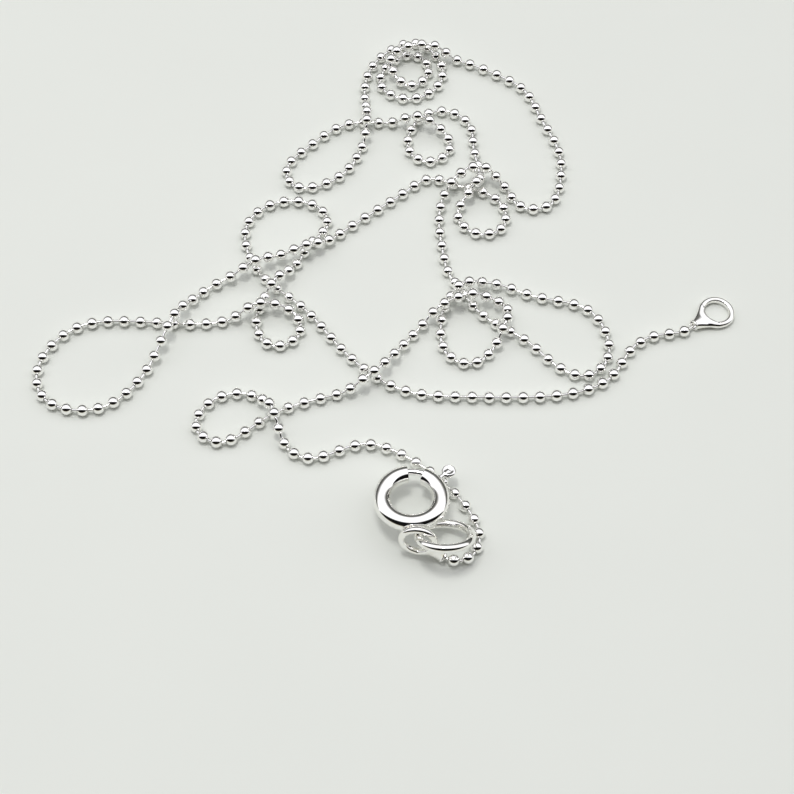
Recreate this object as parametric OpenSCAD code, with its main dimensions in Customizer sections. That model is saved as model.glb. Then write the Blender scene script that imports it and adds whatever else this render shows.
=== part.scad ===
// Ball chain necklace with a bolt ring clasp, laid in loose loops on a flat surface.
// X is to the right, Y away from the viewer, Z up from the surface.
// Angles around the bolt ring and its loop run anticlockwise from the right, seen from above.

/* [Chain] */
// Diameter of one ball, and of the tube that follows the chain
ball_d = 1; // [0.8:0.05:1]
// Clearance between two strands where one crosses over the other
strand_gap = 0.05; // [0.02:0.01:0.1]
// Gap between the two halves of the chain
seam_gap = 0.04; // [0.02:0.01:0.1]
// Gap between each end of the chain and its end cap
cap_gap = 0.1; // [0.05:0.01:0.2]

/* [End caps] */
// Length from the mouth of the cap to the centre of its eye
cap_len = 2.6; // [2.4:0.05:2.8]
// Wall of the cup at the mouth
cup_wall = 0.12; // [0.08:0.01:0.2]
// Thickness of the neck between the cup and the eye
neck_t = 0.72; // [0.6:0.02:0.9]
// Outside diameter of the eye
eye_d = 3.15; // [2.95:0.05:3.35]
// Diameter of the hole in the eye
eye_hole_d = 2.1; // [1.95:0.05:2.2]
// Depth of the flat land on the wall of the hole
eye_land = 0.035; // [0.02:0.005:0.06]
// Turn of the clasp's end cap about its own length
clasp_cap_roll = 73; // [66:1:80]
// Distance by which the loop's wire passes beyond the middle of that cap's eye
eye_slack = 0.4; // [0.3:0.05:0.5]

/* [Bolt ring] */
// Outside diameter of the ring
ring_d = 6.12; // [6:0.02:6.3]
// Outside diameter of the tube that forms the ring
tube_d = 1.42; // [1.38:0.02:1.5]
// Wall of that tube
tube_wall = 0.15; // [0.1:0.01:0.17]
// Angle at which the gap in the ring begins
gap_from = 66; // [60:1:70]
// Angle at which the gap in the ring ends
gap_to = 97; // [92:1:102]
// Lean of the ring, with its near side up
ring_lean = 8; // [4:1:12]
// Clearance between the ring and the strands that it rests on
rest_gap = 0.04; // [0.02:0.01:0.1]

/* [Closed loop] */
// Outside diameter of the loop
loop_d = 4.92; // [4.8:0.02:5.04]
// Thickness of the loop's wire
loop_wire = 0.72; // [0.64:0.02:0.8]
// Lean of the loop, with its near side up
loop_lean = 37; // [34:1:40]
// Place of the soldered joint on the ring
joint_on_ring = -78; // [-82:1:-74]
// Place of the soldered joint on the loop
joint_on_loop = 164; // [160:1:168]
// Depth to which ring and loop are melted together
solder_depth = 0.2; // [0.1:0.02:0.24]

/* [Gate] */
// Thickness of the curved bolt wire
bolt_wire = 0.56; // [0.5:0.02:0.6]
// Clearance between the bolt wire and the inside of the tube
bolt_gap = 0.08; // [0.06:0.01:0.1]
// Length of the closed bolt's tip inside the far end of the tube
bolt_catch = 0.36; // [0.3:0.02:0.5]
// Length of the bolt's tail inside the near end of the tube
bolt_tail = 1.6; // [1.4:0.05:1.8]
// Angle by which the gate slides to open the ring
gate_travel = 40; // [38:1:42]
// Place of the thumb knob on the closed ring
knob_at = 41; // [38:1:46]
// Diameter of the thumb knob
knob_d = 1.2; // [1.1:0.05:1.3]
// Thickness of the thumb knob
knob_t = 0.45; // [0.4:0.05:0.5]
// Depth of the dimple in the thumb knob
dimple_depth = 0.1; // [0.06:0.02:0.14]
// Clearance between the thumb knob and the outside of the ring
knob_gap = 0.33; // [0.25:0.01:0.45]
// Thickness of the stem that carries the thumb knob
stem_d = 0.4; // [0.34:0.02:0.44]
// Clearance between the stem and its slot on each side
slot_gap = 0.1; // [0.08:0.01:0.14]

/* [Hidden] */
$fn = 48;
hull_fn = 32;
tube_sides = 8;
// Room added to a cut so that it passes the surface
cut_over = 0.1;

// The chain's route, as it lies: x, y and height in strands above the surface.
// The first list runs from the free end to the seam, the second from there to the clasp.
free_route = [
    [26, -5, 0], [25.25, -5.5, 0], [22.75, -6, 0], [20.5, -7.5, 0], [19, -9.75, 0], [16.75, -11.25, 0],
    [12.25, -12, 0], [6.75, -12, 0], [1.75, -11.5, 0], [-0.75, -10.25, 0], [-4, -7.25, 0],
    [-7, -3.5, 0], [-9.25, -1.5, 0], [-11.25, 0.5, 0], [-12.5, 3.25, 0], [-12.5, 5.75, 0],
    [-10.75, 7.75, 0], [-8.25, 8.25, 0], [-6, 7.25, 0], [-5.5, 5.5, 0], [-6.75, 3.75, 0], [-8, 1.5, 0],
    [-9.75, -1, 1.15], [-11, -3, 0], [-11.25, -5, 0], [-10.25, -6.75, 0], [-8.5, -6.75, 0],
    [-7.5, -5.25, 0], [-8.25, -3.75, 0.25], [-9.75, -3.25, 0.75], [-11.25, -3.5, 1.15], [-14, -4.5, 0],
    [-18.25, -4.75, 0], [-22.75, -4.5, 0], [-26.25, -5, 0], [-28.75, -7.25, 0], [-29.5, -10, 0],
    [-28.5, -12.25, 0], [-26, -13.25, 0], [-23.25, -12.75, 0], [-20.5, -9.75, 0],
    [-18.25, -4.75, 1.15], [-16.25, -1.75, 0], [-14, -0.25, 0.25], [-11.5, 1, 1.15], [-9.5, 2, 0.5],
    [-7.25, 2.5, 1.3], [-4.5, 4.5, 0], [1.75, 9.5, 0], [3.75, 10.75, 0], [6.25, 10, 0], [8.5, 9.25, 0],
    [10.25, 7.5, 0], [10, 5.25, 0], [7.75, 4.75, 0], [6.25, 6.25, 0], [6.5, 7.75, 0.25],
    [8, 9.75, 1.2], [8.25, 10.75, 0.1], [7.75, 14.5, 0], [7.5, 16.75, 0], [5.75, 18.5, 0],
    [3.5, 18.25, 0], [2, 16.25, 0], [2, 13.75, 0], [3.75, 12.75, 0], [5.5, 14, 0], [5, 16, 0.25],
    [2.75, 17, 1.2], [-0.25, 17.25, 0], [-4, 17, 0], [-7.25, 14.5, 0], [-9.25, 11.75, 0],
    [-8.5, 10, 0], [-6.25, 10, 0], [-4, 11.5, 0], [-2.5, 14.25, 0], [-2, 17, 1.15], [-2.25, 20, 0]
];
clasp_route = [
    [-2.25, 20, 0], [-2, 23, 0], [-0.75, 25.25, 0], [0.75, 26.5, 0], [2.25, 27, 0], [3.75, 26.25, 0],
    [5, 24, 0], [4.75, 22, 0], [3.25, 20.5, 0], [1, 20.25, 0], [-0.75, 21.75, 0], [-0.5, 23.5, 0],
    [0.75, 25, 0], [2.25, 25.5, 0], [3.5, 24.5, 0], [3.5, 22.75, 0], [2, 21.75, 0], [0.5, 22.75, 0.5],
    [0.25, 24.25, 1.15], [1.75, 25.5, 1.15], [4, 25.5, 1.35], [6.75, 24.75, 0], [10.25, 23, 0],
    [12.75, 21, 0], [14, 18, 0], [15.5, 14, 0], [15.5, 10.5, 0], [14.25, 7.75, 0], [11.75, 7.75, 0],
    [10.5, 9.75, 0], [9.75, 10.5, 0.5], [8.75, 11, 1.25], [7.5, 11, 1.35], [6, 10, 1.15],
    [5, 8.75, 0.25], [4.5, 5.5, 0], [4.75, 3, 0], [5.25, 0.5, 0], [6.25, -1.25, 0], [8.25, -4, 0],
    [11.75, -6.5, 0], [14.25, -9, 0], [16.75, -9.9, 0], [18.5, -8.25, 0], [18.5, -5.5, 0],
    [17, -3.25, 0], [12.75, -2, 0], [8.75, -0.75, 0.25], [6.25, -1.5, 1.15], [5, -2.75, 0],
    [4.5, -5, 0], [5, -7.75, 0], [7, -8.75, 0], [8.75, -7.5, 0], [10, -5.25, 1.15], [10.25, -4, 0.75],
    [9.25, -2.75, 0.5], [7, -2.5, 1.15], [4.75, -3.5, 1.15], [2.25, -5.75, 0], [-1.5, -10.5, 1.15],
    [-4.25, -11.75, 0], [-9.25, -13.5, 0], [-12, -15.5, 0], [-14, -16.25, 0], [-15.75, -15, 0],
    [-15.25, -13, 0], [-13.25, -11.75, 0], [-11, -12, 0], [-9.5, -13.75, 1.2], [-8.25, -16.75, 0],
    [-6.25, -17.75, 0], [-2.25, -16.5, 0], [1.25, -17.5, 0], [4.5, -20, 0], [6.75, -23, 0],
    [7.25, -25, 0], [6.5, -26.5, 0], [5.35, -26.85, 0], [4.75, -26.65, 0]
];

function unit(v) = v / norm(v);
function last(list) = list[len(list) - 1];
function arc_angle(length, radius) = length / radius * 180 / PI;
// A point on a circle of the given radius, and the direction in which the circle runs there
function on_circle(radius, a) = [radius * cos(a), radius * sin(a), 0];
function along_circle(a) = [-sin(a), cos(a), 0];
// A vector after the frame has leaned about X, near side up
function leaned(v, a) = [v.x, v.y * cos(a) + v.z * sin(a), v.z * cos(a) - v.y * sin(a)];

// Chain
strand_step = ball_d + strand_gap;
function laid(route) = [for (row = route) [row[0], row[1], ball_d / 2 + row[2] * strand_step]];
free_points = laid(free_route);
clasp_points = laid(clasp_route);
free_end = free_points[0];
free_end_dir = unit(free_points[0] - free_points[1]);
clasp_end = last(clasp_points);
clasp_end_dir = unit(clasp_end - clasp_points[len(clasp_points) - 2]);
seam_dir = unit(unit(last(free_points) - free_points[len(free_points) - 2])
    + unit(clasp_points[1] - clasp_points[0]));

// End caps
mouth_d = ball_d;
eye_wire = (eye_d - eye_hole_d) / 2 + eye_land;
eye_r = (eye_d - eye_wire) / 2;
neck_at = cap_len - eye_d / 2 - eye_wire / 2;
shoulder_angle = 35;
rim_t = 0.1;
// The free cap lies with its mouth and the far side of its eye on the surface
free_cap_pitch = asin((mouth_d - eye_wire) / 2 / (cap_len + eye_r));
free_mouth = free_end + cap_gap * free_end_dir;

// Bolt ring and closed loop, each relative to the ring's centre
ring_r = (ring_d - tube_d) / 2;
bore_d = tube_d - 2 * tube_wall;
loop_r = (loop_d - loop_wire) / 2;
// The joint pulls the loop's wire against the underside of the ring's tube
joint_side = unit(cross(leaned(along_circle(joint_on_ring), ring_lean),
    leaned(along_circle(joint_on_loop), loop_lean)));
joint_dir = joint_side.z < 0 ? joint_side : -joint_side;
loop_from_ring = leaned(on_circle(ring_r, joint_on_ring), ring_lean)
    + joint_dir * ((tube_d + loop_wire) / 2 - solder_depth)
    - leaned(on_circle(loop_r, joint_on_loop), loop_lean);
// The ring rests on the chain, and its height sets that of the loop
ring_z = ball_d + rest_gap + tube_d / 2 + ring_r * sin(ring_lean);
loop_z = ring_z + loop_from_ring.z;
// The clasp's cap rises from the surface until the loop's left side passes its eye
clasp_cap_rise = asin((loop_z - clasp_end.z) / cap_len);
clasp_cap_yaw = atan2(clasp_end_dir.y, clasp_end_dir.x);
clasp_mouth = clasp_end + clasp_end_dir * (cap_gap + mouth_d / 2 * sin(clasp_cap_rise));
clasp_eye = clasp_mouth + cap_len * [
    cos(clasp_cap_rise) * cos(clasp_cap_yaw),
    cos(clasp_cap_rise) * sin(clasp_cap_yaw),
    sin(clasp_cap_rise)
];
loop_centre = clasp_eye + [loop_r, eye_slack, 0];
ring_centre = loop_centre - loop_from_ring;

// Gate
bolt_r = ring_r + bore_d / 2 - bolt_gap - bolt_wire / 2;
// Each end of the bolt tapers over this length, from a little under the wire's thickness
taper_len = 0.2;
taper_sink = 0.05;
taper_from_d = 0.96 * bolt_wire;
taper_to_d = 0.5 * bolt_wire;
bolt_from = gap_from - arc_angle(bolt_tail, bolt_r);
bolt_to = gap_to + arc_angle(bolt_catch - taper_len, bolt_r);
knob_r = ring_d / 2 + knob_gap + knob_d / 2;
slot_w = stem_d + 2 * slot_gap;
slot_margin = arc_angle(slot_w / 2, ring_d / 2);
dimple_d = 1.6 * knob_d;

// One octagonal ring of points around the route at point i, widened where the route turns
function heading(points, i) =
    i == 0 ? unit(points[1] - points[0])
    : i == len(points) - 1 ? unit(points[i] - points[i - 1])
    : unit(unit(points[i] - points[i - 1]) + unit(points[i + 1] - points[i]));
function ring_points(points, i, dir, d) =
    let (
        step = i == 0 ? points[1] - points[0] : points[i] - points[i - 1],
        side = unit([-dir.y, dir.x, 0]),
        rise = cross(dir, side),
        widen = 1 / (dir * unit(step))
    )
    [for (k = [0:tube_sides - 1])
        points[i] + d / 2 * (widen * cos(k * 360 / tube_sides) * side + sin(k * 360 / tube_sides) * rise)];

// A closed tube along the points; first_dir and last_dir square off its ends
module route_tube(points, first_dir, last_dir, d) {
    n = len(points);
    vertices = [for (i = [0:n - 1])
        each ring_points(points, i, i == 0 ? first_dir : i == n - 1 ? last_dir : heading(points, i), d)];
    walls = [for (i = [0:n - 2], k = [0:tube_sides - 1])
        let (
            a = i * tube_sides + k,
            b = i * tube_sides + (k + 1) % tube_sides
        )
        each [[a, b, a + tube_sides], [b, b + tube_sides, a + tube_sides]]];
    first_face = [for (k = [0:tube_sides - 1]) tube_sides - 1 - k];
    last_face = [for (k = [0:tube_sides - 1]) (n - 1) * tube_sides + k];
    polyhedron(points = vertices, faces = concat([first_face], walls, [last_face]), convexity = 10);
}

function without_last(list) = [for (i = [0:len(list) - 2]) list[i]];
function without_first(list) = [for (i = [1:len(list) - 1]) list[i]];

// Chain from the free end to the seam
module ball_chain_free() {
    seam = last(free_points) - seam_gap / 2 * seam_dir;
    color("silver")
        route_tube(concat(without_last(free_points), [seam]), -free_end_dir, seam_dir, ball_d);
}

// Chain from the seam to the clasp
module ball_chain_clasp() {
    seam = clasp_points[0] + seam_gap / 2 * seam_dir;
    color("silver")
        route_tube(concat([seam], without_first(clasp_points)), seam_dir, clasp_end_dir, ball_d);
}

module torus(radius, wire) {
    rotate_extrude()
        translate([radius, 0])
            circle(d = wire);
}

module arc_tube(radius, wire, from, to) {
    rotate([0, 0, from])
        rotate_extrude(angle = to - from)
            translate([radius, 0])
                circle(d = wire);
}

module neck_section() {
    translate([neck_at, 0, 0])
        scale([1, mouth_d, neck_t])
            rotate([0, 90, 0])
                cylinder(d = 1, h = rim_t, $fn = hull_fn);
}

// Stamped cap with its mouth at the origin, its length along X and its eye flat in XY
module end_cap() {
    difference() {
        union() {
            translate([cap_len, 0, 0])
                torus(eye_r, eye_wire);
            hull() {
                rotate([0, 90, 0])
                    cylinder(d = mouth_d, h = rim_t, $fn = hull_fn);
                neck_section();
            }
            hull() {
                neck_section();
                for (side = [-1, 1])
                    translate([cap_len - eye_r * cos(shoulder_angle), side * eye_r * sin(shoulder_angle), 0])
                        sphere(d = eye_wire, $fn = hull_fn);
            }
        }
        translate([cap_len, 0, -mouth_d])
            cylinder(d = eye_hole_d, h = 2 * mouth_d);
        sphere(d = mouth_d - 2 * cup_wall);
    }
}

// End cap on the chain's free end, lying flat
module end_cap_free() {
    color("silver")
        translate(free_mouth)
            rotate([0, free_cap_pitch, atan2(free_end_dir.y, free_end_dir.x)])
                end_cap();
}

// End cap that hangs on the clasp's loop
module end_cap_clasp() {
    color("silver")
        translate(clasp_mouth)
            rotate([0, -clasp_cap_rise, clasp_cap_yaw])
                rotate([-clasp_cap_roll, 0, 0])
                    end_cap();
}

module on_ring() {
    translate(ring_centre)
        rotate([-ring_lean, 0, 0])
            children();
}

// Hollow ring with its gap, the slot for the stem and the closed loop soldered on
module bolt_ring() {
    color("silver")
        difference() {
            union() {
                on_ring()
                    arc_tube(ring_r, tube_d, gap_to, gap_from + 360);
                translate(loop_centre)
                    rotate([-loop_lean, 0, 0])
                        torus(loop_r, loop_wire);
            }
            on_ring()
                torus(ring_r, bore_d);
            on_ring()
                rotate([0, 0, knob_at - gate_travel - slot_margin])
                    rotate_extrude(angle = gate_travel + 2 * slot_margin)
                        translate([ring_r, -slot_w / 2])
                            square([tube_d / 2 + cut_over, slot_w]);
        }
}

// Tapered end of the bolt wire at angle a; way is 1 clockwise and -1 anticlockwise
module bolt_end(a, way) {
    rotate([0, 0, a])
        translate([bolt_r, way * taper_sink, 0])
            rotate([way * 90, 0, 0])
                cylinder(d1 = taper_from_d, d2 = taper_to_d, h = taper_len + taper_sink);
}

// Curved bolt wire with its stem and thumb knob
module gate() {
    color("gainsboro")
        on_ring() {
            arc_tube(bolt_r, bolt_wire, bolt_from, bolt_to);
            bolt_end(bolt_from, 1);
            bolt_end(bolt_to, -1);
            rotate([0, 0, knob_at]) {
                translate([bolt_r, 0, 0])
                    rotate([0, 90, 0])
                        cylinder(d = stem_d, h = knob_r - knob_d / 2 + knob_t / 2 - bolt_r);
                translate([knob_r, 0, 0])
                    knob();
            }
        }
}

// Round thumb knob with a rounded rim and a shallow dimple on top
module knob() {
    rim = knob_t / 2;
    rim_step = 15;
    difference() {
        rotate_extrude()
            polygon(concat(
                [[0, -rim]],
                [for (a = [-90:rim_step:90]) [knob_d / 2 - rim + rim * cos(a), rim * sin(a)]],
                [[0, rim]]
            ));
        translate([0, 0, rim - dimple_depth + dimple_d / 2])
            sphere(d = dimple_d);
    }
}

ball_chain_free();
ball_chain_clasp();
end_cap_free();
end_cap_clasp();
bolt_ring();
gate();
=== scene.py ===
"""Ball chain necklace with a bolt ring clasp, laid in loose loops on a pale surface.

X is to the right, Y away from the viewer and Z up from the surface. The classes hold
their sizes in millimetres, as the part's source does. The meshes are in metres, and so
are the sizes of the studio.
"""

import logging
import math
from dataclasses import dataclass, field
from enum import Enum
from typing import Callable

import bpy
import numpy as np
from mathutils import Euler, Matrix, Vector


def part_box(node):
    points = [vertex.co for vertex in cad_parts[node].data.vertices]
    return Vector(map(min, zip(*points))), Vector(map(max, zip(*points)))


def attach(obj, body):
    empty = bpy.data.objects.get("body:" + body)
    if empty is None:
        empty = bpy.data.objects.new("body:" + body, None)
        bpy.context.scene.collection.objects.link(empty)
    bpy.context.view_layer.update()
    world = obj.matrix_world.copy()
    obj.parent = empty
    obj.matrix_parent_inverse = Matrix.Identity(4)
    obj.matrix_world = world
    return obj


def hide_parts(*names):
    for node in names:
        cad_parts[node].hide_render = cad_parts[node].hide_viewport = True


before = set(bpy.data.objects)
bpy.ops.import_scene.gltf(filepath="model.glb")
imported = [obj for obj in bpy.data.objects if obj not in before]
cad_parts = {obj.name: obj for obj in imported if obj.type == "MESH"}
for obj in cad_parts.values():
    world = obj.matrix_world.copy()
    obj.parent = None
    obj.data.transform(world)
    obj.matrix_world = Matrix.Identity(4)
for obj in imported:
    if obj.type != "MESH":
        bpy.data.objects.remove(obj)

log = logging.getLogger("necklace")

MM = 0.001
Array = np.ndarray
Distance = Callable[[Array], Array]

# The chain's route, as it lies: x, y and height in strands above the surface.
# The first list runs from the free end to the seam, the second from there to the clasp.
FREE_ROUTE = (
    (26, -5, 0), (25.25, -5.5, 0), (22.75, -6, 0), (20.5, -7.5, 0), (19, -9.75, 0), (16.75, -11.25, 0),
    (12.25, -12, 0), (6.75, -12, 0), (1.75, -11.5, 0), (-0.75, -10.25, 0), (-4, -7.25, 0),
    (-7, -3.5, 0), (-9.25, -1.5, 0), (-11.25, 0.5, 0), (-12.5, 3.25, 0), (-12.5, 5.75, 0),
    (-10.75, 7.75, 0), (-8.25, 8.25, 0), (-6, 7.25, 0), (-5.5, 5.5, 0), (-6.75, 3.75, 0), (-8, 1.5, 0),
    (-9.75, -1, 1.15), (-11, -3, 0), (-11.25, -5, 0), (-10.25, -6.75, 0), (-8.5, -6.75, 0),
    (-7.5, -5.25, 0), (-8.25, -3.75, 0.25), (-9.75, -3.25, 0.75), (-11.25, -3.5, 1.15), (-14, -4.5, 0),
    (-18.25, -4.75, 0), (-22.75, -4.5, 0), (-26.25, -5, 0), (-28.75, -7.25, 0), (-29.5, -10, 0),
    (-28.5, -12.25, 0), (-26, -13.25, 0), (-23.25, -12.75, 0), (-20.5, -9.75, 0),
    (-18.25, -4.75, 1.15), (-16.25, -1.75, 0), (-14, -0.25, 0.25), (-11.5, 1, 1.15), (-9.5, 2, 0.5),
    (-7.25, 2.5, 1.3), (-4.5, 4.5, 0), (1.75, 9.5, 0), (3.75, 10.75, 0), (6.25, 10, 0), (8.5, 9.25, 0),
    (10.25, 7.5, 0), (10, 5.25, 0), (7.75, 4.75, 0), (6.25, 6.25, 0), (6.5, 7.75, 0.25),
    (8, 9.75, 1.2), (8.25, 10.75, 0.1), (7.75, 14.5, 0), (7.5, 16.75, 0), (5.75, 18.5, 0),
    (3.5, 18.25, 0), (2, 16.25, 0), (2, 13.75, 0), (3.75, 12.75, 0), (5.5, 14, 0), (5, 16, 0.25),
    (2.75, 17, 1.2), (-0.25, 17.25, 0), (-4, 17, 0), (-7.25, 14.5, 0), (-9.25, 11.75, 0),
    (-8.5, 10, 0), (-6.25, 10, 0), (-4, 11.5, 0), (-2.5, 14.25, 0), (-2, 17, 1.15), (-2.25, 20, 0),
)
CLASP_ROUTE = (
    (-2.25, 20, 0), (-2, 23, 0), (-0.75, 25.25, 0), (0.75, 26.5, 0), (2.25, 27, 0), (3.75, 26.25, 0),
    (5, 24, 0), (4.75, 22, 0), (3.25, 20.5, 0), (1, 20.25, 0), (-0.75, 21.75, 0), (-0.5, 23.5, 0),
    (0.75, 25, 0), (2.25, 25.5, 0), (3.5, 24.5, 0), (3.5, 22.75, 0), (2, 21.75, 0), (0.5, 22.75, 0.5),
    (0.25, 24.25, 1.15), (1.75, 25.5, 1.15), (4, 25.5, 1.35), (6.75, 24.75, 0), (10.25, 23, 0),
    (12.75, 21, 0), (14, 18, 0), (15.5, 14, 0), (15.5, 10.5, 0), (14.25, 7.75, 0), (11.75, 7.75, 0),
    (10.5, 9.75, 0), (9.75, 10.5, 0.5), (8.75, 11, 1.25), (7.5, 11, 1.35), (6, 10, 1.15),
    (5, 8.75, 0.25), (4.5, 5.5, 0), (4.75, 3, 0), (5.25, 0.5, 0), (6.25, -1.25, 0), (8.25, -4, 0),
    (11.75, -6.5, 0), (14.25, -9, 0), (16.75, -9.9, 0), (18.5, -8.25, 0), (18.5, -5.5, 0),
    (17, -3.25, 0), (12.75, -2, 0), (8.75, -0.75, 0.25), (6.25, -1.5, 1.15), (5, -2.75, 0),
    (4.5, -5, 0), (5, -7.75, 0), (7, -8.75, 0), (8.75, -7.5, 0), (10, -5.25, 1.15), (10.25, -4, 0.75),
    (9.25, -2.75, 0.5), (7, -2.5, 1.15), (4.75, -3.5, 1.15), (2.25, -5.75, 0), (-1.5, -10.5, 1.15),
    (-4.25, -11.75, 0), (-9.25, -13.5, 0), (-12, -15.5, 0), (-14, -16.25, 0), (-15.75, -15, 0),
    (-15.25, -13, 0), (-13.25, -11.75, 0), (-11, -12, 0), (-9.5, -13.75, 1.2), (-8.25, -16.75, 0),
    (-6.25, -17.75, 0), (-2.25, -16.5, 0), (1.25, -17.5, 0), (4.5, -20, 0), (6.75, -23, 0),
    (7.25, -25, 0), (6.5, -26.5, 0), (5.35, -26.85, 0), (4.75, -26.65, 0),
)


class Body(Enum):
    """The part's two bodies."""

    NECKLACE = "necklace"
    GATE = "bolt"


class Slot(Enum):
    """The part's two material slots."""

    POLISHED = "polished_silver"
    WIRE = "bright_wire"


def unit(vectors: Array) -> Array:
    """Vectors scaled to a length of one."""
    return vectors / np.linalg.norm(vectors, axis=-1, keepdims=True)


def turned(x: float = 0.0, y: float = 0.0, z: float = 0.0) -> Array:
    """The matrix that turns about X, then Y, then Z, by angles in degrees."""
    return np.array(Euler([math.radians(a) for a in (x, y, z)], "XYZ").to_matrix())


def joined(a: Array, b: Array, blend: float) -> Array:
    """The distance to two solids together, with a fillet where they meet.

    Args:
        a: Distances to one solid.
        b: Distances to the other.
        blend: How far the fillet reaches.

    Returns:
        Distances to the solids together.
    """
    mix = np.clip(0.5 + 0.5 * (b - a) / blend, 0.0, 1.0)
    return b * (1 - mix) + a * mix - blend * mix * (1 - mix)


def shared(a: Array, b: Array, blend: float) -> Array:
    """The distance to what two solids have in common, with its edge eased by blend."""
    return -joined(-a, -b, blend)


def hoop(points: Array, radius: float, wire_r: float) -> Array:
    """The distance to a ring of round wire that lies flat about the origin."""
    out = np.hypot(points[:, 0], points[:, 1]) - radius
    return np.hypot(out, points[:, 2]) - wire_r


def around(angle: float) -> Array:
    """The direction in which a circle about Z runs at an angle in degrees."""
    a = math.radians(angle)
    return np.array([-math.sin(a), math.cos(a), 0.0])


def on_circle(radius: float, angle: float) -> Array:
    """The point of a circle about Z at an angle in degrees."""
    a = math.radians(angle)
    return np.array([radius * math.cos(a), radius * math.sin(a), 0.0])


def sector(points: Array, start: float, end: float) -> Array:
    """How deep points lie between two half planes about Z, less than half a turn apart.

    Args:
        points: The points.
        start: Angle of the first half plane, in degrees.
        end: Angle of the second, anticlockwise from the first.

    Returns:
        The depth from the nearer plane, below zero outside.
    """
    return np.minimum(points @ around(start), -(points @ around(end)))


def add_mesh(name: str, points: Array, faces: list[list[int]], material: bpy.types.Material,
             normals: Array | None = None, crease: float | None = None) -> bpy.types.Object:
    """Adds a smooth mesh to the scene.

    Args:
        name: Name of the piece.
        points: Its points, in millimetres.
        faces: Its faces, as lists of point numbers.
        material: Its finish.
        normals: The exact direction of the surface at each point, where it is known.
        crease: The angle, in degrees, from which an edge is sharp.

    Returns:
        The new object.
    """
    mesh = bpy.data.meshes.new(name)
    mesh.from_pydata((points * MM).tolist(), [], faces)
    mesh.polygons.foreach_set("use_smooth", np.ones(len(mesh.polygons), dtype=bool))
    mesh.update()
    if crease is not None:
        mesh.set_sharp_from_angle(angle=math.radians(crease))
    if normals is not None:
        mesh.normals_split_custom_set_from_vertices(normals.tolist())
    mesh.materials.append(material)
    piece = bpy.data.objects.new(name, mesh)
    bpy.context.scene.collection.objects.link(piece)
    return piece


def hand_over(piece: bpy.types.Object, body: Body, slot: Slot, *nodes: str) -> None:
    """Lets a piece stand for its nodes and ride on their body.

    Args:
        piece: The piece.
        body: The body that carries it.
        slot: Not used.
        nodes: The nodes that it stands for.
    """
    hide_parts(*nodes)
    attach(piece, body.value)
    triangles = sum(len(face.vertices) - 2 for face in piece.data.polygons)
    log.info("%s stands for %s: %d triangles", piece.name, ", ".join(nodes), triangles)


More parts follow.
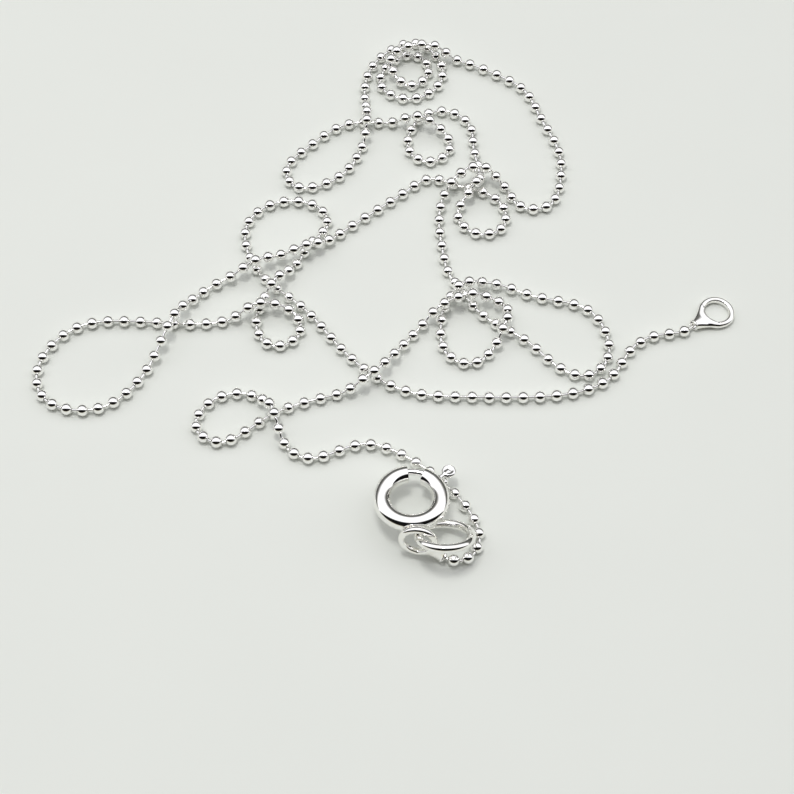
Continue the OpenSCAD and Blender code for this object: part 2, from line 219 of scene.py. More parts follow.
@dataclass(frozen=True)
class SilverFinish:
    """Bright metal with faint waves, drawn scratches and a breath of tarnish.

    Roughness runs from clean to dull metal. Lengths are in millimetres, and the two ranges
    are shares of the haze pattern's full height.
    """

    name: str
    bright: tuple[float, float, float]
    warm: tuple[float, float, float]
    clean: float
    dull: float
    haze_size: float = 0.5
    haze_detail: float = 4.0
    wave_size: float = 0.9
    wave_detail: float = 1.0
    wave_depth: float = 0.004
    scratch_size: float = 0.06
    scratch_detail: float = 3.0
    scratch_stretch: float = 9.0
    scratch_depth: float = 0.0002
    grain_turn: tuple[float, float, float] = (0.3, 0.5, 0.7)
    tint_range: tuple[float, float] = (0.35, 0.6)
    polish_range: tuple[float, float] = (0.3, 0.75)

    def _noise(self, tree: bpy.types.NodeTree, size: float, detail: float,
               stretch: float = 1.0) -> bpy.types.NodeSocket:
        """Adds a noise pattern that is fixed to the piece.

        Args:
            tree: The material's nodes.
            size: Size of its features.
            detail: How many finer layers it has.
            stretch: How much longer than wide its features are.

        Returns:
            The socket with the pattern's value.
        """
        place = tree.nodes.new("ShaderNodeTexCoord")
        mapping = tree.nodes.new("ShaderNodeMapping")
        mapping.inputs["Scale"].default_value = (1.0, 1.0 / stretch, 1.0)
        mapping.inputs["Rotation"].default_value = self.grain_turn
        noise = tree.nodes.new("ShaderNodeTexNoise")
        noise.inputs["Scale"].default_value = 1.0 / (size * MM)
        noise.inputs["Detail"].default_value = detail
        tree.links.new(place.outputs["Object"], mapping.inputs["Vector"])
        tree.links.new(mapping.outputs["Vector"], noise.inputs["Vector"])
        return noise.outputs["Fac"]

    def _bump(self, tree: bpy.types.NodeTree, height: bpy.types.NodeSocket, depth: float,
              under: bpy.types.NodeSocket | None) -> bpy.types.NodeSocket:
        """Adds relief of a depth in millimetres, on top of the relief under it."""
        bump = tree.nodes.new("ShaderNodeBump")
        bump.inputs["Strength"].default_value = 1.0
        bump.inputs["Distance"].default_value = depth * MM
        tree.links.new(height, bump.inputs["Height"])
        if under is not None:
            tree.links.new(under, bump.inputs["Normal"])
        return bump.outputs["Normal"]

    def make(self) -> bpy.types.Material:
        """Makes the material, with its patterns in the piece's own space."""
        material = bpy.data.materials.new(self.name)
        material.use_nodes = True
        tree = material.node_tree
        shader = tree.nodes["Principled BSDF"]
        shader.inputs["Metallic"].default_value = 1.0
        haze = self._noise(tree, self.haze_size, self.haze_detail)
        tint = tree.nodes.new("ShaderNodeValToRGB")
        for stop, place, colour in zip(tint.color_ramp.elements, self.tint_range, (self.warm, self.bright)):
            stop.position = place
            stop.color = (*colour, 1.0)
        tree.links.new(haze, tint.inputs["Fac"])
        tree.links.new(tint.outputs["Color"], shader.inputs["Base Color"])
        polish = tree.nodes.new("ShaderNodeMapRange")
        polish.inputs["From Min"].default_value = self.polish_range[0]
        polish.inputs["From Max"].default_value = self.polish_range[1]
        polish.inputs["To Min"].default_value = self.clean
        polish.inputs["To Max"].default_value = self.dull
        tree.links.new(haze, polish.inputs["Value"])
        tree.links.new(polish.outputs["Result"], shader.inputs["Roughness"])
        swell = self._noise(tree, self.wave_size, self.wave_detail)
        waves = self._bump(tree, swell, self.wave_depth, None)
        scratches = self._noise(tree, self.scratch_size, self.scratch_detail, self.scratch_stretch)
        tree.links.new(self._bump(tree, scratches, self.scratch_depth, waves), shader.inputs["Normal"])
        return material


POLISHED_SILVER = SilverFinish("polished silver", (0.96, 0.955, 0.94), (0.93, 0.915, 0.87), 0.03, 0.09)
BALL_SILVER = SilverFinish("burnished ball silver", (0.96, 0.955, 0.945), (0.94, 0.93, 0.9), 0.02, 0.07,
                           haze_size=0.3, wave_depth=0.001)
BRIGHT_WIRE = SilverFinish("bright drawn wire", (0.95, 0.945, 0.94), (0.92, 0.91, 0.88), 0.04, 0.1,
                           wave_depth=0.0015, scratch_stretch=14.0)


@dataclass
class FormMesher:
    """Covers a solid, given by its distance, with an even net of quads.

    Each cell that the surface passes through gets one point, and the points are then
    spread evenly over the surface and pulled exactly onto it. The probe and the farthest
    move are shares of a cell.
    """

    cell: float
    evenings: int = 4
    pulls: int = 3
    probe: float = 0.2
    farthest: float = 0.5
    least_slope: float = 0.05

    def _slope(self, distance: Distance, points: Array) -> Array:
        """The gradient of the distance at some points."""
        step = self.probe * self.cell
        return np.stack([(distance(points + step * e) - distance(points - step * e)) / (2 * step)
                         for e in np.eye(3)], axis=-1)

    def _pulled(self, distance: Distance, points: Array) -> Array:
        """Moves points onto the surface, no farther than they may go at once."""
        slope = self._slope(distance, points)
        steep = np.maximum((slope ** 2).sum(axis=-1, keepdims=True), self.least_slope)
        move = -distance(points)[:, None] * slope / steep
        length = np.linalg.norm(move, axis=-1, keepdims=True)
        return points + move * np.minimum(1.0, self.farthest * self.cell / np.maximum(length, 1e-9))

    def _values(self, distance: Distance, axes: list[Array]) -> Array:
        """The distance at every node of a grid, one slab after another."""
        values = np.empty([len(a) for a in axes])
        for i, x in enumerate(axes[0]):
            slab = np.stack(np.meshgrid([x], axes[1], axes[2], indexing="ij"), axis=-1)
            values[i] = distance(slab.reshape(-1, 3)).reshape(len(axes[1]), len(axes[2]))
        return values

    def _first_points(self, values: Array, cells: Array) -> Array:
        """The middle of the places where the surface crosses the edges of each cell."""
        total, hits = np.zeros((len(cells), 3)), np.zeros(len(cells))
        for corner in np.ndindex(2, 2, 2):
            for axis in range(3):
                if corner[axis]:
                    continue
                near = np.array(corner)
                far = near + np.eye(3, dtype=int)[axis]
                a, b = values[tuple((cells + near).T)], values[tuple((cells + far).T)]
                crossed = (a < 0) != (b < 0)
                place = cells[crossed] + near + np.eye(3)[axis] * (a / (a - b + 1e-12))[crossed, None]
                total[crossed] += place
                hits += crossed
        return total / hits[:, None]

    @staticmethod
    def _quads(inside: Array, number: Array) -> Array:
        """A quad for each edge of the grid that the surface crosses, facing outwards."""
        found = []
        for axis in range(3):
            u, v = (axis + 1) % 3, (axis + 2) % 3
            low = np.take(inside, range(inside.shape[axis] - 1), axis=axis)
            high = np.take(inside, range(1, inside.shape[axis]), axis=axis)
            for leaving in (True, False):
                edges = np.argwhere((low & ~high) if leaving else (high & ~low))
                corners = []
                for du, dv in ((0, 0), (-1, 0), (-1, -1), (0, -1)):
                    cell = edges.copy()
                    cell[:, u] += du
                    cell[:, v] += dv
                    corners.append(number[tuple(cell.T)])
                quads = np.stack(corners, axis=-1)
                found.append(quads if leaving else quads[:, ::-1])
        return np.concatenate(found)

    def cover(self, distance: Distance, low: Array, high: Array) -> tuple[Array, Array, Array]:
        """Covers the solid that lies inside a box.

        Args:
            distance: The distance to the solid, below zero inside it.
            low: The box's lowest corner.
            high: The box's highest corner.

        Returns:
            The points, the quads and the direction of the surface at each point.
        """
        axes = [np.arange(low[k] - 2 * self.cell, high[k] + 3 * self.cell, self.cell) for k in range(3)]
        values = self._values(distance, axes)
        inside = values < 0
        count = sum(inside[i:inside.shape[0] - 1 + i, j:inside.shape[1] - 1 + j,
                           k:inside.shape[2] - 1 + k].astype(int) for i, j, k in np.ndindex(2, 2, 2))
        crossed = (count > 0) & (count < 8)
        cells = np.argwhere(crossed)
        number = np.full(crossed.shape, -1)
        number[crossed] = np.arange(len(cells))
        start = np.array([a[0] for a in axes])
        points = start + self.cell * self._first_points(values, cells)
        quads = self._quads(inside, number)
        pairs = np.concatenate([quads[:, [i, (i + 1) % 4]] for i in range(4)])
        pairs = np.concatenate([pairs, pairs[:, ::-1]])
        degree = np.bincount(pairs[:, 0], minlength=len(points))[:, None]
        for _ in range(self.evenings):
            sums = np.stack([np.bincount(pairs[:, 0], points[pairs[:, 1], k], len(points))
                             for k in range(3)], axis=-1)
            points = self._pulled(distance, 0.5 * points + 0.5 * sums / degree)
        for _ in range(self.pulls):
            points = self._pulled(distance, points)
        return points, quads, unit(self._slope(distance, points))


@dataclass
class LaidRoute:
    """One smooth line through the chosen points of the chain.

    The curve's knots lie as far apart as the points do, to the power of the spacing.
    """

    ball_d: float = 1.0
    strand_gap: float = 0.05
    per_stretch: int = 80
    spacing: float = 0.75
    line: Array = field(init=False)
    length: Array = field(init=False)
    seam: float = field(init=False)

    def __post_init__(self) -> None:
        """Lays the line and measures along it."""
        rows = np.array(FREE_ROUTE + CLASP_ROUTE[1:], dtype=float)
        step = self.ball_d + self.strand_gap
        rows[:, 2] = self.ball_d / 2 + rows[:, 2] * step
        chords = np.linalg.norm(np.diff(rows[:, :2], axis=0), axis=1)
        knots = np.concatenate([[0.0], np.cumsum(chords ** self.spacing)])
        at = np.concatenate([np.linspace(a, b, self.per_stretch, endpoint=False)
                             for a, b in zip(knots[:-1], knots[1:])] + [knots[-1:]])
        flat = self._smooth(knots, rows[:, :2], at)
        height = self._level(knots, rows[:, 2], at)
        self.line = np.column_stack([flat, height])
        steps = np.linalg.norm(np.diff(self.line, axis=0), axis=1)
        self.length = np.concatenate([[0.0], np.cumsum(steps)])
        self.seam = self.length[(len(FREE_ROUTE) - 1) * self.per_stretch]

    @staticmethod
    def _smooth(knots: Array, rows: Array, at: Array) -> Array:
        """The natural cubic spline through rows, at some places."""
        gap = np.diff(knots)
        n = len(knots)
        system, right = np.eye(n), np.zeros_like(rows)
        for i in range(1, n - 1):
            system[i, i - 1:i + 2] = gap[i - 1], 2 * (gap[i - 1] + gap[i]), gap[i]
            right[i] = 6 * ((rows[i + 1] - rows[i]) / gap[i] - (rows[i] - rows[i - 1]) / gap[i - 1])
        bend = np.linalg.solve(system, right)
        i = np.clip(np.searchsorted(knots, at, side="right") - 1, 0, n - 2)
        h = gap[i][:, None]
        a = (knots[i + 1] - at)[:, None] / h
        b = 1 - a
        return (a * rows[i] + b * rows[i + 1]
                + ((a ** 3 - a) * bend[i] + (b ** 3 - b) * bend[i + 1]) * h ** 2 / 6)

    @staticmethod
    def _level(knots: Array, heights: Array, at: Array) -> Array:
        """A smooth height that never passes above or below the rows beside it."""
        gap = np.diff(knots)
        rise = np.diff(heights) / gap
        slope = np.zeros_like(heights)
        for i in range(1, len(heights) - 1):
            if rise[i - 1] * rise[i] > 0:
                w1, w2 = 2 * gap[i] + gap[i - 1], gap[i] + 2 * gap[i - 1]
                slope[i] = (w1 + w2) / (w1 / rise[i - 1] + w2 / rise[i])
        i = np.clip(np.searchsorted(knots, at, side="right") - 1, 0, len(knots) - 2)
        h = gap[i]
        t = (at - knots[i]) / h
        return ((2 * t ** 3 - 3 * t ** 2 + 1) * heights[i] + (t ** 3 - 2 * t ** 2 + t) * h * slope[i]
                + (3 * t ** 2 - 2 * t ** 3) * heights[i + 1] + (t ** 3 - t ** 2) * h * slope[i + 1])

    def point(self, along: Array) -> Array:
        """The points of the line at some lengths along it."""
        return np.column_stack([np.interp(along, self.length, self.line[:, k]) for k in range(3)])

    def heading(self, along: Array, reach: float) -> Array:
        """The line's direction, taken over a reach on each side."""
        inner = np.clip(along, reach, self.length[-1] - reach)
        return unit(self.point(inner + reach) - self.point(inner - reach))


@dataclass
class BallChain:
    """The balls of the chain and the short link wires between them.

    Balls lie closer in a bend, by the whole loss from the full bend on, which is in radians
    a millimetre. The lip is the eased edge of a ball's hole, and sinks by a share of itself.
    """

    route: LaidRoute
    balls: int = 335
    straight_pitch: float = 1.4
    bend_loss: float = 0.45
    full_bend: float = 1.0
    free_inset: float = 0.9
    hole_r: float = 0.15
    hole_depth: float = 0.16
    lip: float = 0.025
    lip_drop: float = 0.6
    link_r: float = 0.12
    link_inside: float = 0.1
    segments: int = 26
    arcs: int = 13
    link_sides: int = 8
    link_rings: int = 7
    ball_crease: float = 40.0
    link_crease: float = 50.0

    def places(self) -> Array:
        """How far along the line each ball's centre is: balls lie closer in a bend."""
        along = self.route.length
        reach = self.route.ball_d / 2
        before, after = self.route.heading(along - reach, reach), self.route.heading(along + reach, reach)
        bend = np.arccos(np.clip((before * after).sum(axis=-1), -1, 1)) / (2 * reach)
        pitch = self.straight_pitch - self.bend_loss * np.minimum(bend, self.full_bend)
        middle = 0.5 * (1 / pitch[1:] + 1 / pitch[:-1])
        count = np.concatenate([[0.0], np.cumsum(np.diff(along) * middle)])
        ends = np.interp([self.free_inset, along[-1] - reach], along, count)
        return np.interp(np.linspace(*ends, self.balls), count, along)

    def _profile(self) -> Array:
        """Half the outline of a drilled ball, from one hole's bottom to the other's."""
        r = self.route.ball_d / 2
        edge = math.asin((self.hole_r + self.lip) / r)
        mouth = math.sqrt(r * r - self.hole_r ** 2) - self.lip_drop * self.lip
        bottom = mouth - self.hole_depth
        turns = np.linspace(edge, math.pi - edge, self.arcs + 1)
        ball = np.column_stack([-r * np.cos(turns), r * np.sin(turns)])
        start = np.array([[-bottom, self.hole_r], [-mouth, self.hole_r]])
        return np.concatenate([start, ball, start[::-1] * (-1, 1)])

    def _one_ball(self) -> tuple[Array, list[list[int]]]:
        """A ball about the origin with its holes along X.

        Returns:
            Its points and its faces.
        """
        profile = self._profile()
        rings, n = len(profile), self.segments
        angles = np.linspace(0, 2 * np.pi, n, endpoint=False)
        points = np.array([(x, r * np.cos(a), r * np.sin(a)) for x, r in profile for a in angles])
        faces = [[i * n + k, i * n + (k + 1) % n, (i + 1) * n + (k + 1) % n, (i + 1) * n + k]
                 for i in range(rings - 1) for k in range(n)]
        first, last = len(points), len(points) + 1
        points = np.concatenate([points, [[profile[0, 0], 0, 0], [profile[-1, 0], 0, 0]]])
        faces += [[first, (k + 1) % n, k] for k in range(n)]
        faces += [[last, (rings - 1) * n + k, (rings - 1) * n + (k + 1) % n] for k in range(n)]
        return points, [face[::-1] for face in faces]

    def _strung(self, name: str, along: Array, material: bpy.types.Material) -> bpy.types.Object:
        """Adds the balls that lie at some lengths along the line."""
        shape, faces = self._one_ball()
        centres = self.route.point(along)
        headings = self.route.heading(along, self.route.ball_d / 2)
        points, all_faces = [], []
        for number, (centre, ahead) in enumerate(zip(centres, headings)):
            side = unit(np.array([-ahead[1], ahead[0], 0.0]))
            frame_of_ball = np.array([ahead, side, np.cross(ahead, side)])
            points.append(shape @ frame_of_ball + centre)
            all_faces += [[v + number * len(shape) for v in face] for face in faces]
        return add_mesh(name, np.concatenate(points), all_faces, material, crease=self.ball_crease)

    def _link(self, start: Array, start_dir: Array, end: Array, end_dir: Array) -> Array:
        """The rings of points of one link wire, which bends from one direction to the other.

        Args:
            start: Where the wire begins.
            start_dir: Its direction there.
            end: Where it ends.
            end_dir: Its direction there.

        Returns:
            The points, ring after ring.
        """
        pull = np.linalg.norm(end - start) / 3
        t = np.linspace(0, 1, self.link_rings)[:, None]
        p0, p1, p2, p3 = start, start + pull * start_dir, end - pull * end_dir, end
        middle = (1 - t) ** 3 * p0 + 3 * (1 - t) ** 2 * t * p1 + 3 * (1 - t) * t ** 2 * p2 + t ** 3 * p3
        ahead = unit(3 * (1 - t) ** 2 * (p1 - p0) + 6 * (1 - t) * t * (p2 - p1) + 3 * t ** 2 * (p3 - p2))
        side = unit(np.column_stack([-ahead[:, 1], ahead[:, 0], np.zeros(len(ahead))]))
        rise = np.cross(ahead, side)
        a = np.linspace(0, 2 * np.pi, self.link_sides, endpoint=False)
        round_ = np.cos(a)[None, :, None] * side[:, None] + np.sin(a)[None, :, None] * rise[:, None]
        return (middle[:, None] + self.link_r * round_).reshape(-1, 3)

    def _linked(self, name: str, links: list[Array], material: bpy.types.Material) -> bpy.types.Object:
        """Adds link wires, each closed at both ends."""
        n, rings = self.link_sides, self.link_rings
        walls = [[i * n + k, i * n + (k + 1) % n, (i + 1) * n + (k + 1) % n, (i + 1) * n + k]
                 for i in range(rings - 1) for k in range(n)]
        ends = [list(range(n))[::-1], [(rings - 1) * n + k for k in range(n)]]
        faces = [[v + i * n * rings for v in face] for i in range(len(links)) for face in walls + ends]
        return add_mesh(name, np.concatenate(links), faces, material, crease=self.link_crease)

    def build(self, silver: bpy.types.Material, wire: bpy.types.Material,
              free_cap: tuple[Array, Array], clasp_cap: tuple[Array, Array]) -> None:
        """Adds both halves of the chain, each as its balls and its link wires.

        Args:
            silver: Finish of the balls.
            wire: Finish of the link wires.
            free_cap: Mouth of the cap on the free end, and the direction into it.
            clasp_cap: The same of the cap on the clasp's end.
        """
        along = self.places()
        centres = self.route.point(along)
        headings = self.route.heading(along, self.route.ball_d / 2)
        grip = self.route.ball_d / 2 - self.link_inside
        links = [self._link(centres[i] + grip * headings[i], headings[i],
                            centres[i + 1] - grip * headings[i + 1], headings[i + 1])
                 for i in range(len(centres) - 1)]
        tips = []
        for centre, out, (mouth, into) in ((centres[0], -headings[0], free_cap),
                                           (centres[-1], headings[-1], clasp_cap)):
            tips.append(self._link(centre + grip * out, out, mouth + self.link_inside * into, into))
        last_free = int(np.searchsorted(along, self.route.seam))
        balls = self._strung("chain_balls_free_half", along[:last_free], silver)
        hand_over(balls, Body.NECKLACE, Slot.POLISHED, "ball_chain_free")
        wires = self._linked("chain_links_free_half", [tips[0]] + links[:last_free], wire)
        hand_over(wires, Body.NECKLACE, Slot.POLISHED, "ball_chain_free")
        balls = self._strung("chain_balls_clasp_half", along[last_free:], silver)
        hand_over(balls, Body.NECKLACE, Slot.POLISHED, "ball_chain_clasp")
        wires = self._linked("chain_links_clasp_half", links[last_free:] + [tips[1]], wire)
        hand_over(wires, Body.NECKLACE, Slot.POLISHED, "ball_chain_clasp")
        pitch = np.diff(along)
        log.info("%d balls, %.2f to %.2f mm apart", len(along), pitch.min(), pitch.max())


@dataclass
class EndCap:
    """Stamped cap whose funnel runs out into a round eye.

    It is made with its mouth at the origin, its length along X and its eye flat. The flare
    starts under the rim and widens up to the shoulder, which lies beside the eye's hole.
    """

    mouth_d: float = 1.0
    cap_len: float = 2.6
    cup_wall: float = 0.12
    eye_d: float = 3.15
    eye_hole_d: float = 2.1
    eye_land: float = 0.035
    rim_len: float = 0.13
    rim_step: float = 0.05
    flare_from: float = 0.1
    shoulder_at: float = 1.75
    shoulder_half: float = 1.25
    flare_bend: float = 1.3
    flare_past: float = 1.2
    edge: float = 0.05
    eye_fillet: float = 0.22
    rim_fillet: float = 0.04
    hole_edge: float = 0.08
    cup_edge: float = 0.04
    cell: float = 0.034

    @property
    def eye_wire(self) -> float:
        """Thickness of the eye's wire."""
        return (self.eye_d - self.eye_hole_d) / 2 + self.eye_land

    @property
    def eye_r(self) -> float:
        """Radius of the eye at the middle of its wire."""
        return (self.eye_d - self.eye_wire) / 2

    def _distance(self, p: Array) -> Array:
        """The distance to the cap."""
        x, y, z = p.T
        r = self.mouth_d / 2
        start = r - self.rim_step
        flare = np.clip((x - self.flare_from) / (self.shoulder_at - self.flare_from), 0.0, self.flare_past)
        half_w = start + (self.shoulder_half - start) * flare ** self.flare_bend
        half_t = start + (self.eye_wire / 2 - start) * np.minimum(flare, 1.0)
        out = np.hypot(y / half_w, z / half_t)
        funnel = out * (out - 1) / (np.hypot(y / half_w ** 2, z / half_t ** 2) + 1e-6)
        funnel = shared(funnel, np.maximum(-x, x - self.shoulder_at), self.edge)
        rim = shared(np.hypot(y, z) - r, np.maximum(-x, x - self.rim_len), self.edge)
        eye = hoop(p - (self.cap_len, 0, 0), self.eye_r, self.eye_wire / 2)
        body = joined(joined(funnel, eye, self.eye_fillet), rim, self.rim_fillet)
        hole = np.hypot(x - self.cap_len, y) - self.eye_hole_d / 2
        body = shared(body, -hole, self.hole_edge)
        cup = np.linalg.norm(p, axis=-1) - (r - self.cup_wall)
        return shared(body, -cup, self.cup_edge)

    def build(self, name: str, node: str, turn: Array, mouth: Array,
              material: bpy.types.Material) -> None:
        """Adds a cap where its node is.

        Args:
            name: Name of the piece.
            node: The node that it stands for.
            turn: The matrix that turns it.
            mouth: Where its mouth goes.
            material: Its finish.
        """
        low = np.array([0, -self.eye_d / 2, -self.mouth_d / 2])
        high = np.array([self.cap_len + self.eye_d / 2, self.eye_d / 2, self.mouth_d / 2])
        points, quads, normals = FormMesher(self.cell).cover(self._distance, low, high)
        piece = add_mesh(name, points @ turn.T + mouth, quads.tolist(), material, normals @ turn.T)
        hand_over(piece, Body.NECKLACE, Slot.POLISHED, node)


@dataclass
class BoltRing:
    """Hollow ring with a gap, the slot for the knob's stem and the closed loop soldered on."""

    ring_d: float = 6.12
    tube_d: float = 1.42
    tube_wall: float = 0.15
    gap_from: float = 66.0
    gap_to: float = 97.0
    ring_lean: float = 8.0
    loop_d: float = 4.92
    loop_wire: float = 0.72
    loop_lean: float = 37.0
    joint_on_ring: float = -78.0
    joint_on_loop: float = 164.0
    solder_depth: float = 0.2
    solder_fillet: float = 0.22
    edge: float = 0.05
    cell: float = 0.05

    @property
    def ring_r(self) -> float:
        """Radius of the ring at the middle of its tube."""
        return (self.ring_d - self.tube_d) / 2

    @property
    def bore_r(self) -> float:
        """Inside radius of the tube."""
        return self.tube_d / 2 - self.tube_wall

    @property
    def loop_r(self) -> float:
        """Radius of the loop at the middle of its wire."""
        return (self.loop_d - self.loop_wire) / 2

    def loop_from_ring(self) -> Array:
        """The way from the ring's centre to the loop's: their wires melt together at the joint."""
        ring_turn, loop_turn = turned(x=-self.ring_lean), turned(x=-self.loop_lean)
        along_ring = ring_turn @ around(self.joint_on_ring)
        across = unit(np.cross(along_ring, loop_turn @ around(self.joint_on_loop)))
        down = across if across[2] < 0 else -across
        return (ring_turn @ on_circle(self.ring_r, self.joint_on_ring)
                + down * ((self.tube_d + self.loop_wire) / 2 - self.solder_depth)
                - loop_turn @ on_circle(self.loop_r, self.joint_on_loop))

    def build(self, centre: Array, slot_from: float, slot_to: float, slot_w: float,
              material: bpy.types.Material) -> None:
        """Adds the ring and its loop where their node is.

        Args:
            centre: The ring's centre.
            slot_from: Angle at which the slot begins.
            slot_to: Angle at which the slot ends.
            slot_w: Width of the slot.
            material: Its finish.
        """
        ring_turn, loop_turn = turned(x=-self.ring_lean), turned(x=-self.loop_lean)
        loop_at = self.loop_from_ring()

        def distance(p: Array) -> Array:
            """The distance to the ring and its loop, from the ring's centre."""
            at_ring, at_loop = p @ ring_turn, (p - loop_at) @ loop_turn
            tube = hoop(at_ring, self.ring_r, 0.0)
            gap = sector(at_ring, self.gap_from, self.gap_to)
            tube_solid = shared(tube - self.tube_d / 2, gap, self.edge)
            loop = hoop(at_loop, self.loop_r, self.loop_wire / 2)
            whole = joined(tube_solid, loop, self.solder_fillet)
            whole = shared(whole, self.bore_r - tube, self.edge)
            outwards = np.hypot(at_ring[:, 0], at_ring[:, 1]) - self.ring_r
            slot = np.minimum(np.minimum(slot_w / 2 - np.abs(at_ring[:, 2]), outwards),
                              sector(at_ring, slot_from, slot_to))
            return shared(whole, slot, self.edge)

        low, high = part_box("bolt_ring")
        points, quads, normals = FormMesher(self.cell).cover(
            distance, np.array(low) / MM - centre, np.array(high) / MM - centre)
        piece = add_mesh("clasp_ring_and_loop", points + centre, quads.tolist(), material, normals)
        hand_over(piece, Body.NECKLACE, Slot.POLISHED, "bolt_ring")


@dataclass
class Gate:
    """Curved bolt wire of the clasp, with its stem and its dimpled thumb knob."""

    bolt_wire: float = 0.56
    bolt_gap: float = 0.08
    bolt_catch: float = 0.36
    bolt_tail: float = 1.6
    gate_travel: float = 40.0
    knob_at: float = 41.0
    knob_d: float = 1.2
    knob_t: float = 0.45
    dimple_depth: float = 0.1
    dimple_share: float = 0.8
    knob_gap: float = 0.33
    stem_d: float = 0.4
    slot_gap: float = 0.1
    taper_len: float = 0.2
    stem_edge: float = 0.02
    stem_fillet: float = 0.06
    knob_fillet: float = 0.1
    dimple_edge: float = 0.05
    cell: float = 0.03

    @property
    def dimple_r(self) -> float:
        """Radius of the ball that presses the knob's dimple."""
        return self.dimple_share * self.knob_d

    def slot_of(self, ring: BoltRing) -> tuple[float, float, float]:
        """Where the stem's slot begins and ends on the ring, and its width."""
        width = self.stem_d + 2 * self.slot_gap
        margin = math.degrees(width / ring.ring_d)
        return self.knob_at - self.gate_travel - margin, self.knob_at + margin, width

    def build(self, ring: BoltRing, centre: Array, material: bpy.types.Material) -> None:
        """Adds the gate where its node is.

        Args:
            ring: The ring that it slides in.
            centre: The ring's centre.
            material: Its finish.
        """
        turn = turned(x=-ring.ring_lean)
        bolt_r = ring.ring_r + ring.bore_r - self.bolt_gap - self.bolt_wire / 2
        wire_r, knob_r = self.bolt_wire / 2, ring.ring_d / 2 + self.knob_gap + self.knob_d / 2
        tip = wire_r - self.taper_len
        start = ring.gap_from - math.degrees((self.bolt_tail - tip) / bolt_r)
        end = ring.gap_to + math.degrees((self.bolt_catch - wire_r) / bolt_r)
        outward = unit(on_circle(1, self.knob_at))
        sideways = around(self.knob_at)

        def distance(p: Array) -> Array:
            """The distance to the gate, from the ring's centre."""
            q = p @ turn
            ends = np.minimum(np.linalg.norm(q - on_circle(bolt_r, start), axis=-1),
                              np.linalg.norm(q - on_circle(bolt_r, end), axis=-1)) - wire_r
            bolt = np.where(sector(q, start, end) > 0, hoop(q, bolt_r, wire_r), ends)
            out, side = q @ outward, q @ sideways
            stem = shared(np.hypot(side, q[:, 2]) - self.stem_d / 2,
                          np.maximum(bolt_r - out, out - knob_r), self.stem_edge)
            rim = self.knob_t / 2
            flat = np.hypot(out - knob_r, side) - (self.knob_d / 2 - rim)
            knob = np.where(flat > 0, np.hypot(flat, q[:, 2]), np.abs(q[:, 2])) - rim
            high_z = rim - self.dimple_depth + self.dimple_r
            dimple = self.dimple_r - np.sqrt((out - knob_r) ** 2 + side ** 2 + (q[:, 2] - high_z) ** 2)
            knob = shared(knob, dimple, self.dimple_edge)
            return joined(joined(bolt, stem, self.stem_fillet), knob, self.knob_fillet)

        low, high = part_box("gate")
        points, quads, normals = FormMesher(self.cell).cover(
            distance, np.array(low) / MM - centre, np.array(high) / MM - centre)
        piece = add_mesh("clasp_gate_and_knob", points + centre, quads.tolist(), material, normals)
        hand_over(piece, Body.GATE, Slot.WIRE, "gate")


@dataclass
class Fittings:
    """The end caps and the clasp, each set against the chain's ends as the part's source does."""

    route: LaidRoute
    cap: EndCap = field(default_factory=EndCap)
    ring: BoltRing = field(default_factory=BoltRing)
    gate: Gate = field(default_factory=Gate)
    cap_gap: float = 0.1
    clasp_cap_roll: float = 73.0
    eye_slack: float = 0.4
    rest_gap: float = 0.04

    @staticmethod
    def _end(route: tuple[tuple[float, float, float], ...], last: int, before: int) -> tuple[Array, Array]:
        """The end of a route and the direction in which it leaves there."""
        tip, inner = np.array(route[last], dtype=float), np.array(route[before], dtype=float)
        return tip, unit(tip - inner)

    def free_place(self) -> tuple[Array, Array]:
        """The mouth of the free cap and the matrix that turns it."""
        tip, out = self._end(FREE_ROUTE, 0, 1)
        mouth = tip + (0, 0, self.route.ball_d / 2) + self.cap_gap * out
        pitch = math.asin((self.cap.mouth_d - self.cap.eye_wire) / 2 / (self.cap.cap_len + self.cap.eye_r))
        return mouth, turned(y=math.degrees(pitch), z=math.degrees(math.atan2(out[1], out[0])))

    def ring_height(self) -> float:
        """Height of the ring's centre, which rests on the chain."""
        return (self.route.ball_d + self.rest_gap + self.ring.tube_d / 2
                + self.ring.ring_r * math.sin(math.radians(self.ring.ring_lean)))

    def clasp_place(self) -> tuple[Array, Array]:
        """The mouth of the clasp's cap and the matrix that turns it."""
        tip, out = self._end(CLASP_ROUTE, -1, -2)
        tip = tip + (0, 0, self.route.ball_d / 2)
        loop_z = self.ring_height() + self.ring.loop_from_ring()[2]
        rise = math.asin((loop_z - tip[2]) / self.cap.cap_len)
        mouth = tip + out * (self.cap_gap + self.cap.mouth_d / 2 * math.sin(rise))
        turn = turned(y=-math.degrees(rise), z=math.degrees(math.atan2(out[1], out[0])))
        return mouth, turn @ turned(x=-self.clasp_cap_roll)

    def ring_centre(self) -> Array:
        """The ring's centre: the loop's left side passes the eye of the clasp's cap."""
        mouth, turn = self.clasp_place()
        eye = mouth + turn @ np.array([self.cap.cap_len, 0, 0])
        return eye + (self.ring.loop_r, self.eye_slack, 0) - self.ring.loop_from_ring()

    def build(self, silver: bpy.types.Material, wire: bpy.types.Material) -> None:
        """Adds both caps and the clasp.

        Args:
            silver: Finish of the caps and the ring.
            wire: Finish of the gate.
        """
        for name, node, (mouth, turn) in (("end_cap_at_free_end", "end_cap_free", self.free_place()),
                                          ("end_cap_at_clasp", "end_cap_clasp", self.clasp_place())):
            self.cap.build(name, node, turn, mouth, silver)
        centre = self.ring_centre()
        self.ring.build(centre, *self.gate.slot_of(self.ring), silver)
        self.gate.build(self.ring, centre, wire)


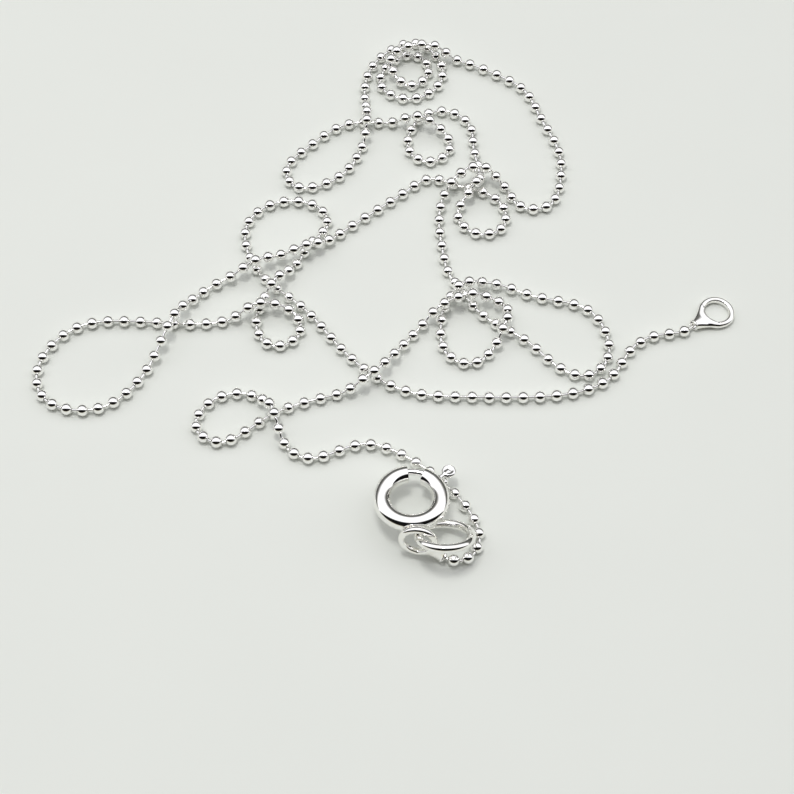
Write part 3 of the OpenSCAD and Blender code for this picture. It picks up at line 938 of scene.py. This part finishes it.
@dataclass(frozen=True)
class Studio:
    """Pale surface under a broad white light, with a dark room in front and behind.

    The light's edges run along X, so that they draw the same lens on every ball. The
    stops give its colour from the horizon in front, at 0, over the top to the one behind,
    at 1. Lengths are in metres, and the mottle is how far the surface's tone strays.
    """

    stops: tuple[tuple[float, tuple[float, float, float]], ...] = (
        (0.0, (0.66, 0.66, 0.58)),
        (0.05, (0.66, 0.66, 0.58)),
        (0.068, (0.09, 0.06, 0.035)),
        (0.11, (0.006, 0.006, 0.006)),
        (0.36, (0.006, 0.006, 0.006)),
        (0.4, (1.0, 1.0, 1.03)),
        (0.76, (1.0, 1.0, 1.03)),
        (0.83, (0.16, 0.16, 0.15)),
        (1.0, (0.03, 0.03, 0.03)),
    )
    strength: float = 1.15
    window_power: float = 0.19
    window_side: float = 0.07
    window_at: tuple[float, float, float] = (-0.025, 0.015, 0.25)
    window_colour: tuple[float, float, float] = (1.0, 0.995, 0.98)
    floor_side: float = 3.0
    floor_colour: tuple[float, float, float] = (0.787, 0.806, 0.757)
    floor_roughness: float = 0.85
    floor_sheen: float = 0.15
    floor_mottle: float = 0.015
    floor_grain: float = 60.0
    floor_detail: float = 3.0

    def _world(self) -> None:
        """Makes the light that surrounds the scene."""
        world = bpy.data.worlds.new("studio light")
        bpy.context.scene.world = world
        world.use_nodes = True
        tree = world.node_tree
        place = tree.nodes.new("ShaderNodeTexCoord")
        parts = tree.nodes.new("ShaderNodeSeparateXYZ")
        front = tree.nodes.new("ShaderNodeMath")
        front.operation = "MULTIPLY"
        front.inputs[1].default_value = -1.0
        over = tree.nodes.new("ShaderNodeMath")
        over.operation = "ARCTAN2"
        share = tree.nodes.new("ShaderNodeMath")
        share.operation = "DIVIDE"
        share.inputs[1].default_value = math.pi
        ramp = tree.nodes.new("ShaderNodeValToRGB")
        elements = ramp.color_ramp.elements
        elements.remove(elements[1])
        elements[0].position, elements[0].color = self.stops[0][0], (*self.stops[0][1], 1.0)
        for position, colour in self.stops[1:]:
            elements.new(position).color = (*colour, 1.0)
        background = tree.nodes["Background"]
        background.inputs["Strength"].default_value = self.strength
        tree.links.new(place.outputs["Generated"], parts.inputs["Vector"])
        tree.links.new(parts.outputs["Y"], front.inputs[0])
        tree.links.new(parts.outputs["Z"], over.inputs[0])
        tree.links.new(front.outputs["Value"], over.inputs[1])
        tree.links.new(over.outputs["Value"], share.inputs[0])
        tree.links.new(share.outputs["Value"], ramp.inputs["Fac"])
        tree.links.new(ramp.outputs["Color"], background.inputs["Color"])

    def _window(self) -> None:
        """Makes the soft lamp above the necklace, a little to its left and behind."""
        lamp = bpy.data.lights.new("window light", "AREA")
        lamp.shape = "DISK"
        lamp.size = self.window_side
        lamp.energy = self.window_power
        lamp.color = self.window_colour
        holder = bpy.data.objects.new("window light", lamp)
        holder.location = self.window_at
        holder.rotation_euler = (-holder.location).to_track_quat("-Z", "Y").to_euler()
        bpy.context.scene.collection.objects.link(holder)

    def _floor(self) -> None:
        """Makes the pale surface that the necklace lies on."""
        material = bpy.data.materials.new("pale surface")
        material.use_nodes = True
        tree = material.node_tree
        shader = tree.nodes["Principled BSDF"]
        shader.inputs["Roughness"].default_value = self.floor_roughness
        shader.inputs["Specular IOR Level"].default_value = self.floor_sheen
        place = tree.nodes.new("ShaderNodeTexCoord")
        noise = tree.nodes.new("ShaderNodeTexNoise")
        noise.inputs["Scale"].default_value = self.floor_grain
        noise.inputs["Detail"].default_value = self.floor_detail
        tone = tree.nodes.new("ShaderNodeMix")
        tone.data_type = "RGBA"
        for end, share in (("A", 1 - self.floor_mottle), ("B", 1 + self.floor_mottle)):
            tone.inputs[end].default_value = (*[share * c for c in self.floor_colour], 1.0)
        tree.links.new(place.outputs["Object"], noise.inputs["Vector"])
        tree.links.new(noise.outputs["Fac"], tone.inputs["Factor"])
        tree.links.new(tone.outputs["Result"], shader.inputs["Base Color"])
        half = self.floor_side / 2
        mesh = bpy.data.meshes.new("pale_surface")
        mesh.from_pydata([(-half, -half, 0), (half, -half, 0), (half, half, 0), (-half, half, 0)],
                         [], [(0, 1, 2, 3)])
        mesh.materials.append(material)
        floor = bpy.data.objects.new("pale_surface", mesh)
        bpy.context.scene.collection.objects.link(floor)

    def build(self) -> None:
        """Makes the light and the surface."""
        self._world()
        self._window()
        self._floor()
        bpy.context.scene.view_settings.view_transform = "Standard"


@dataclass(frozen=True)
class Viewpoint:
    """The camera, which looks down over the necklace along Y. Lengths are in millimetres."""

    aim: tuple[float, float, float] = (0.75, -12.0, 0.5)
    elevation: float = 60.0
    distance: float = 133.33
    lens: float = 72.54
    sensor: float = 36.0
    nearest: float = 10.0

    def build(self) -> None:
        """Makes the camera and puts the scene behind it."""
        camera = bpy.data.cameras.new("camera")
        camera.lens = self.lens
        camera.sensor_width = self.sensor
        camera.clip_start = self.nearest * MM
        holder = bpy.data.objects.new("camera", camera)
        a = math.radians(self.elevation)
        back = Vector((0.0, -math.cos(a), math.sin(a)))
        holder.location = (Vector(self.aim) + self.distance * back) * MM
        holder.rotation_euler = (math.pi / 2 - a, 0.0, 0.0)
        bpy.context.scene.collection.objects.link(holder)
        bpy.context.scene.camera = holder


def corners(box: tuple[Vector, Vector]) -> list[list[float]]:
    """The corners of a box as plain lists of numbers."""
    return [[float(c) for c in corner] for corner in box]


def main() -> None:
    """Builds the necklace, its surface, its light and the camera."""
    logging.basicConfig(level=logging.INFO, format="%(name)s: %(message)s")
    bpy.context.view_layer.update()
    Viewpoint().build()
    Studio().build()
    silver, ball_silver, wire = POLISHED_SILVER.make(), BALL_SILVER.make(), BRIGHT_WIRE.make()
    route = LaidRoute()
    fittings = Fittings(route)
    fittings.build(silver, wire)
    free_mouth, free_turn = fittings.free_place()
    clasp_mouth, clasp_turn = fittings.clasp_place()
    BallChain(route).build(ball_silver, wire, (free_mouth, free_turn[:, 0]), (clasp_mouth, clasp_turn[:, 0]))


if __name__ == "__main__":
    main()
